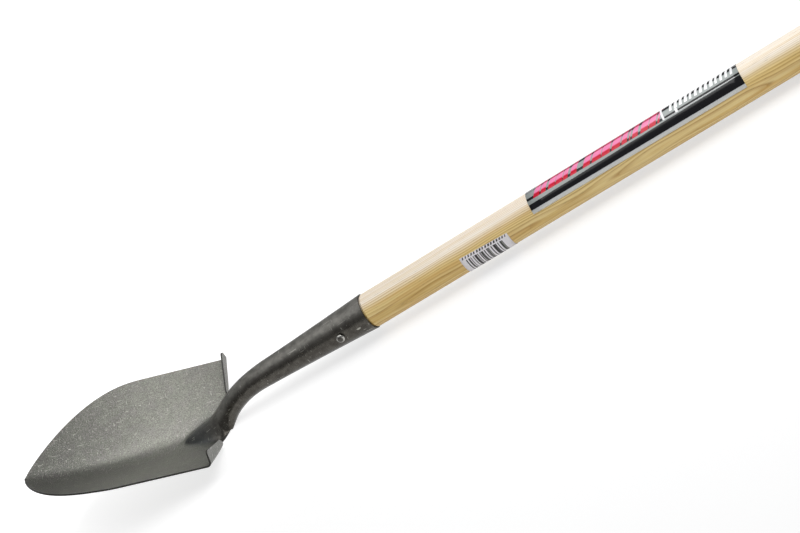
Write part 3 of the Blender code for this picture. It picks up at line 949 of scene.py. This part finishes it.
# %% Round the butt
def on_ring(edge, x, radius):
    """Whether an edge lies on a ring of a given place and radius."""
    return all(
        abs(spot.co.x - x) < 1e-5 and abs(math.hypot(spot.co.y, spot.co.z) - radius) < 1e-5
        for spot in edge.verts
    )


butt_edges = [edge for edge in wood.edges if on_ring(edge, HANDLE_REACH, HANDLE_RADIUS)]
bmesh.ops.bevel(
    wood, geom=butt_edges, offset=BUTT_ROUND, offset_type="OFFSET", segments=10, profile=0.5,
    affect="EDGES", clamp_overlap=False, material=-1,
)
handle = finish("ash_handle_finished", wood, handle_bench, "ash_handle", [ash])
handle.data.set_sharp_from_angle(angle=math.radians(40.0))
drill(handle)
compare(handle, "ash_handle")

# %% [markdown]
# ## The rivet
# One rivet goes through the socket and the handle, and both its ends are hammered into low
# domes. It took the same lacquer as the socket, but the hammer left it smoother.

# %% Rivet steel
rivet_steel, tree, shader = new_material("lacquered_rivet")
place = object_place(tree)
speck = use_group(tree, speckle, {"Place": place, "Grain per metre": 520.0})
colour = blend_colours(tree, speck["Mottle"], (0.05, 0.047, 0.042, 1), (0.10, 0.095, 0.085, 1))
parts = add_node(tree, "SeparateXYZ", {0: place}).outputs
side_view = add_node(tree, "CombineXYZ", {0: parts["X"], 2: parts["Z"]}).outputs[0]
rivet_middle = handle_bench @ Vector((-RIVET_SETBACK, 0.0, 0.0))
feeds = {0: side_view, 1: tuple(rivet_middle)}
off_axis = add_node(tree, "VectorMath", feeds, operation="DISTANCE").outputs["Value"]
patchy = ease(tree, speck["Mottle"], 0.35, 0.55, 0.35, 1.0)
wear_and_painted_top_light = times(tree, ease(tree, off_axis, 0.0024, 0.0036), patchy)
colour = blend_colours(tree, wear_and_painted_top_light, colour, (0.50, 0.49, 0.46, 1))
wire(tree, shader.inputs["Base Color"], colour)
wire(tree, shader.inputs["Roughness"], ease(tree, speck["Grain"], 0.3, 0.7, 0.20, 0.32))
shader.inputs["Metallic"].default_value = 0.85
emboss(tree, shader, speck["Mottle"], 0.5, 0.0009)
print("made", rivet_steel.name)

# %% Hammer the rivet
RIVET_HEAD_RADIUS = 0.0046
RIVET_HEAD_HEIGHT = 0.0024
RIVET_HEAD_EDGE = 0.0004
DOME_STEPS = 10
seat = socket_radius(SOCKET_LENGTH - RIVET_SETBACK + RIVET_HEAD_RADIUS) + 2 * FIT_GAP
half = [(RIVET_RADIUS, seat), (RIVET_HEAD_RADIUS, seat)]
for step in range(DOME_STEPS):
    turn = math.pi / 2 * step / DOME_STEPS
    height = seat + RIVET_HEAD_EDGE + RIVET_HEAD_HEIGHT * math.sin(turn)
    half.append((RIVET_HEAD_RADIUS * math.cos(turn), height))
half.append((0.0, seat + RIVET_HEAD_EDGE + RIVET_HEAD_HEIGHT))
profile = [(radius, -y, 0.0) for radius, y in reversed(half)] + [(radius, y, 0.0) for radius, y in half]
dome = spin_profile(profile, (0.0, 1.0, 0.0), 48)
rivet = finish("socket_rivet_finished", dome, rivet_bench, "socket_rivet", [rivet_steel])
rivet.data.set_sharp_from_angle(angle=math.radians(50.0))
compare(rivet, "socket_rivet")

# %% [markdown]
# ## Labels
# A label is printed flat, then wrapped round the handle. So each one starts as a flat grid
# whose own map holds metres along and across it, and only then is rolled to the radius of
# the handle. The print stays plain: bars and ticks in the colours of the real labels.

# %% Wrap a label
LABEL_GAP = 0.00025
LABEL_THICKNESS = 0.0002


def wrap_label(start, length, width, turn, tilt):
    """A film on the handle, a little crooked, with a map in metres along and across it."""
    film = bmesh.new()
    bmesh.ops.create_grid(film, x_segments=12, y_segments=28, size=0.5)
    bmesh.ops.scale(film, verts=film.verts, vec=(length, width, 1.0))
    bmesh.ops.translate(film, verts=film.verts, vec=(start + length / 2, 0.0, 0.0))
    chart = film.loops.layers.uv.new("print")
    for face in film.faces:
        for loop in face.loops:
            loop[chart].uv = (loop.vert.co.x - start, loop.vert.co.y + width / 2)
    middle = Vector((start + length / 2, 0.0, 0.0))
    bmesh.ops.rotate(film, verts=film.verts, cent=middle, matrix=Matrix.Rotation(-tilt, 3, "Z"))
    radius = HANDLE_RADIUS + LABEL_GAP
    for spot in film.verts:
        angle = turn + spot.co.y / HANDLE_RADIUS
        spot.co = Vector((spot.co.x, -radius * math.cos(angle), radius * math.sin(angle)))
    bmesh.ops.recalc_face_normals(film, faces=film.faces)
    middle = min(film.faces, key=lambda face: abs(face.calc_center_median().x - start - length / 2))
    centre = middle.calc_center_median()
    if middle.normal.dot(Vector((0.0, centre.y, centre.z))) < 0:
        bmesh.ops.reverse_faces(film, faces=film.faces)
    return film


def thicken(piece):
    """The thickness of the film, outwards."""
    body = piece.modifiers.new("film", "SOLIDIFY")
    body.thickness = LABEL_THICKNESS
    body.offset = 1.0


# %% [markdown]
# The large label carries long bands: a silver edge, a broad black stripe, a grey field with
# slanted red shapes on one part and white ticks on the other.

# %% Bars on a label
PRINT_BLUR = 0.0003
band_film, tree, shader = new_material("printed_bands")
chart = add_node(tree, "UVMap", uv_map="print").outputs[0]
parts = add_node(tree, "SeparateXYZ", {0: chart}).outputs
along, across = parts["X"], parts["Y"]


def printed(group, low, high, start, end, more):
    """The mask of a printed group on this label; millimetres along and across."""
    feeds = {
        "Along": along, "Across": across, "Start": start / 1000, "End": end / 1000,
        "Low": low / 1000, "High": high / 1000, **more,
    }
    return use_group(tree, group, feeds)["Mask"]


def strip(low, high, start=-1.0, end=300.0):
    """One upright bar."""
    return printed(bar, low, high, start, end, {"Blur": PRINT_BLUR})


def ticks(low, high, start, end, slant, pitch, fill):
    """A row of slanted bars."""
    return printed(row, low, high, start, end, {"Slant": slant, "Pitch": pitch / 1000, "Fill": fill})


print("started", band_film.name)

# %% Bands of the long label
BLACK = (0.006, 0.006, 0.008, 1)
SILVER = (0.36, 0.39, 0.38, 1)
WHITE = (0.92, 0.92, 0.93, 1)
# Painted reflection: the silver edge is paler at the edge of the label and greyer inwards, as its shine
# changes where the handle turns away.
silver_painted_reflection = ease(tree, across, 0.0005, 0.0040)
silver_edge_painted_reflection = blend_colours(tree, silver_painted_reflection, (0.76, 0.75, 0.71, 1), (0.60, 0.62, 0.62, 1))
colour = blend_colours(tree, strip(-1.0, 4.1), BLACK, silver_edge_painted_reflection)
leaning = plus_share(tree, 0.0091, along, 0.0160)
leaning = plus_share(tree, leaning, noise(tree, chart, 45.0, 2.0), 0.0012)
grey_field = between(tree, across, leaning, 0.0144, PRINT_BLUR)
colour = blend_colours(tree, grey_field, colour, SILVER)
colour = blend_colours(tree, strip(16.5, 24.4), colour, SILVER)
colour = blend_colours(tree, strip(30.0, 47.0, end=156.0), colour, SILVER)
print("made the bands of", band_film.name)

# %% Shapes and ticks of the long label
# Painted reflection: the red foil turns pink through its middle, where it catches the light, and darker
# crimson above.
red_foil_painted_sheen = blend_colours(tree, ease(tree, across, 0.0176, 0.0196), (0.60, 0.008, 0.032, 1), (0.90, 0.26, 0.48, 1))
red_foil_painted_sheen = blend_colours(tree, ease(tree, across, 0.0245, 0.0260), red_foil_painted_sheen, (0.46, 0.020, 0.075, 1))
colour = blend_colours(tree, strip(13.9, 17.2, end=153.0), colour, BLACK)
for start, end, pitch in ((6.0, 59.0, 8.6), (65.0, 115.0, 11.2), (117.0, 151.0, 9.4)):
    colour = blend_colours(tree, ticks(13.8, 32.0, start - 7, end - 7, 0.45, pitch, 1.0), colour, red_foil_painted_sheen)
colour = blend_colours(tree, ticks(19.0, 36.0, 160.0, 230.0, 0.16, 5.5, 0.72), colour, WHITE)
for low, high, start, end, ink in (
    (13.8, 36.0, 154.0, 156.4, WHITE),
    (13.8, 19.0, 168.0, 171.0, WHITE),
    (13.8, 14.5, 154.0, 232.0, WHITE),
    (27.0, 47.0, 232.0, 240.0, BLACK),
):
    colour = blend_colours(tree, strip(low, high, start, end), colour, ink)
wire(tree, shader.inputs["Base Color"], colour)
print("made the print of", band_film.name)

# %% Shine of the long label
shader.inputs["Specular IOR Level"].default_value = 0.35

place = object_place(tree)
marks = use_group(tree, scuffs, {"Place": place, "Amount": 0.5})
wire(tree, shader.inputs["Roughness"], plus_share(tree, 0.15, marks["Rubs"], 0.2))
ripple = noise(tree, stretch(tree, place, (40.0, 160.0, 160.0)), 1.0, 2.0)
emboss(tree, shader, ripple, 0.15, 0.0004)
print("made", band_film.name)

# %% Wrap the band label
film = wrap_label(
    start=0.2060, length=0.2371, width=0.0460, turn=math.radians(86.6), tilt=math.radians(0.38),
)
band = finish("band_label_finished", film, handle_bench, "band_label", [band_film])
thicken(band)
compare(band, "band_label")

# %% [markdown]
# The small label is white film with a block of upright bars, of widths made up here, and a
# row of short ticks above them.

# %% Print of the bar label
code_film, tree, shader = new_material("printed_bars")
chart = add_node(tree, "UVMap", uv_map="print").outputs[0]
parts = add_node(tree, "SeparateXYZ", {0: chart}).outputs
along, across = parts["X"], parts["Y"]
narrow = ticks(-1, 28.0, 3.6, 49.0, 0.0, 2.6, 0.52)
broad_bars = ticks(-1, 28.0, 3.6, 49.0, 0.0, 7.3, 0.44)
inked = maths(tree, "MAXIMUM", narrow, broad_bars)
along_only = add_node(tree, "CombineXYZ", {0: along}).outputs[0]
black_enough = ease(tree, noise(tree, along_only, 330.0, 0.0), 0.38, 0.50)
inked = maths(tree, "MAXIMUM", inked, ticks(29.2, 31.9, -10.5, 41.0, 0.4, 3.3, 0.70))
speck = use_group(tree, speckle, {"Place": object_place(tree), "Grain per metre": 800.0})
paper = blend_colours(tree, speck["Mottle"], (0.86, 0.83, 0.865, 1), (0.93, 0.90, 0.935, 1))
ink = blend_colours(tree, speck["Grain"], (0.012, 0.011, 0.012, 1), (0.030, 0.028, 0.030, 1))
ink = blend_colours(tree, black_enough, (0.13, 0.135, 0.115, 1), ink)
wire(tree, shader.inputs["Base Color"], blend_colours(tree, inked, paper, ink))
wire(tree, shader.inputs["Roughness"], plus_share(tree, 0.40, inked, 0.12))
emboss(tree, shader, speck["Mottle"], 0.12, 0.0003)
print("made", code_film.name)

# %% Wrap the bar label
film = wrap_label(
    start=0.1164, length=0.0556, width=0.0320, turn=math.radians(-30.4), tilt=math.radians(2.2),
)
code = finish("code_label_finished", film, handle_bench, "code_label", [code_film])
thicken(code)
compare(code, "code_label")

# %% [markdown]
# ## The table
# The shovel lies on a white table. To the camera, and in reflections, the table is mostly
# its own white, so the background stays clean, and the rest of it takes light and shadow.

# %% A white table
ground = bmesh.new()
bmesh.ops.create_grid(ground, x_segments=8, y_segments=8, size=4.0)
table = into_scene("table", ground)
table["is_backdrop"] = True

white, tree, shader = new_material("white_table")
shader.inputs["Base Color"].default_value = (0.84, 0.84, 0.84, 1)
shader.inputs["Roughness"].default_value = 0.9
rays = add_node(tree, "LightPath").outputs
seen = maths(tree, "MAXIMUM", rays["Is Camera Ray"], rays["Is Glossy Ray"])
seen = maths(tree, "MAXIMUM", seen, rays["Is Transmission Ray"])
parts = add_node(tree, "SeparateXYZ", {0: object_place(tree)}).outputs
behind = plus_share(tree, parts["Y"], parts["X"], -0.5)
own_white = ease(tree, behind, 0.0, 0.6, 0.62, 1.0)
glow = add_node(tree, "Emission", {"Color": (1, 1, 1, 1), "Strength": own_white}).outputs[0]
shaded = add_node(tree, "BsdfDiffuse", {"Color": (0.42, 0.42, 0.42, 1)}).outputs[0]
soft_white = add_node(tree, "AddShader", {0: glow, 1: shaded}).outputs[0]
both = add_node(tree, "MixShader", {0: seen, 1: shader.outputs[0], 2: soft_white}).outputs[0]
wire(tree, tree.nodes["Material Output"].inputs["Surface"], both)
table.data.materials.append(white)
print("made the table")

# %% [markdown]
# ## Light
# A wide soft box hangs over the handle and a smaller one over the blade. A third, small one
# with a grid stands behind the blade and puts the bright band on the slope above the
# crease. The rest of the room is dim, and the near flank of the lacquer mirrors exactly that.

# %% Soft boxes and dim room
def soft_box(name, spot, aim, size, power, spread=180.0):
    """A rectangular area lamp that looks at a point; a grid over it narrows its spread."""
    lamp = bpy.data.lights.new(name, "AREA")
    lamp.shape = "RECTANGLE"
    lamp.size, lamp.size_y = size
    lamp.energy = power
    lamp.spread = math.radians(spread)
    made = bpy.data.objects.new(name, lamp)
    made.location = spot
    made.rotation_euler = (Vector(aim) - Vector(spot)).to_track_quat("-Z", "Y").to_euler()
    bpy.context.scene.collection.objects.link(made)


soft_box(
    "handle_box", spot=(0.50, 0.42, 1.05), aim=(0.50, 0.44, 0.0), size=(1.4, 1.66), power=17.2,
)
soft_box(
    "blade_box", spot=(-0.58, -0.16, 1.05), aim=(-0.58, -0.16, 0.0), size=(0.74, 0.82), power=3.4,
)
soft_box(
    "crease_box", spot=(-0.80, 0.42, 1.00), aim=(-0.70, 0.0, 0.0), size=(0.22, 0.36), power=0.07,
    spread=26.0,
)

room = bpy.data.worlds.new("dim_room")
room.use_nodes = True
bpy.context.scene.world = room
backdrop = room.node_tree.nodes["Background"]
backdrop.inputs["Color"].default_value = (0.97, 0.98, 1.0, 1)
backdrop.inputs["Strength"].default_value = 0.26
print("lit the scene")

# %% [markdown]
# ## Camera
# The photograph was taken from the near side of the handle, looking down at the shovel, so
# that the blade is smaller and the handle leaves the picture at the upper right.

# %% Camera
LENS_MM = 72.8850937
CAMERA_SPOT = (0.2518254, -1.3718001, 0.7719405)
CAMERA_TURN_DEGREES = (56.80116795, 36.53933664, -0.24379192)
eye = bpy.data.cameras.new("camera")
eye.lens = LENS_MM
eye.sensor_width = 36.0
camera = bpy.data.objects.new("camera", eye)
camera.location = CAMERA_SPOT
camera.rotation_euler = Euler([math.radians(angle) for angle in CAMERA_TURN_DEGREES])
bpy.context.scene.collection.objects.link(camera)
bpy.context.scene.camera = camera
bpy.context.scene.view_settings.view_transform = "Standard"
print("camera in place")

# %% Measure the visual box
low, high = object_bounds()
print("visual box in millimetres:", [round(1000 * (b - a), 1) for a, b in zip(low, high)])
